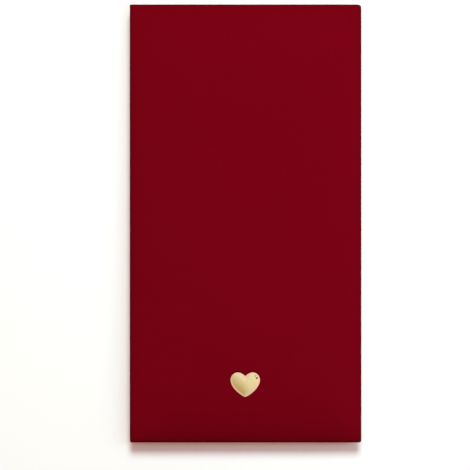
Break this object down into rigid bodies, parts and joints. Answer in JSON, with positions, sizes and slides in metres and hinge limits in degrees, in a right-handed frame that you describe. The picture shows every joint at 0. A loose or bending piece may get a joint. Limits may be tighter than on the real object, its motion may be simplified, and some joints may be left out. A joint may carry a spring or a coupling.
{
  "type": "envelope",
  "caption": "Flat padded gift envelope: a full-length hinged cover with a heart-shaped magnetic clasp closes over an expanding pocket.",
  "frame": {"origin": "centre of the back face, which the closed envelope rests on", "axes": "+Y along the length towards the hinged edge, +Z out of the padded front, +X across the width"},
  "size_m": [0.121, 0.229, 0.0129],
  "materials": {
    "suede_paper": "matte",
    "lining_paper": "matte",
    "greyboard": "matte",
    "gusset_card": "matte",
    "foam": "matte",
    "pale_gold": "polished",
    "nickel_plate": "satin",
    "tinned_steel": "satin"
  },
  "bodies": {
    "back": {"back_skin": "suede_paper", "back_board": "greyboard", "back_lining": "lining_paper", "lower_crease": "suede_paper", "lower_crease_lining": "lining_paper", "bottom_wall": "gusset_card", "left_gusset": "gusset_card", "right_gusset": "gusset_card"},
    "pocket": {"pocket_panel": "gusset_card", "pocket_facing": "suede_paper", "keeper_disc": "tinned_steel"},
    "spine": {"spine_skin": "suede_paper", "spine_board": "greyboard", "spine_lining": "lining_paper", "upper_crease": "suede_paper", "upper_crease_lining": "lining_paper"},
    "flap": {"flap_skin": "suede_paper", "flap_pad": "foam", "flap_board": "greyboard", "flap_lining": "lining_paper", "clasp_magnet": "nickel_plate", "heart_stud": "pale_gold"}
  },
  "joints": [
    {"name": "spine_crease", "type": "hinge", "parent": "back", "child": "spine", "pos_m": [0, 0.11404, 0.00046], "axis": [-1, 0, 0], "range_deg": [0, 90], "deforming": ["lower_crease", "lower_crease_lining"]},
    {"name": "flap_crease", "type": "hinge", "parent": "spine", "child": "flap", "pos_m": [0, 0.11404, 0.00879], "axis": [-1, 0, 0], "range_deg": [0, 90], "deforming": ["upper_crease", "upper_crease_lining"]},
    {"name": "pocket_crease", "type": "hinge", "parent": "back", "child": "pocket", "pos_m": [0, -0.1127, 0.00595], "axis": [1, 0, 0], "range_deg": [0, 3], "deforming": ["left_gusset", "right_gusset"]}
  ],
  "couplings": [
    {"joint": "pocket_crease", "follows": "flap_crease", "ratio": 0.033333}
  ]
}
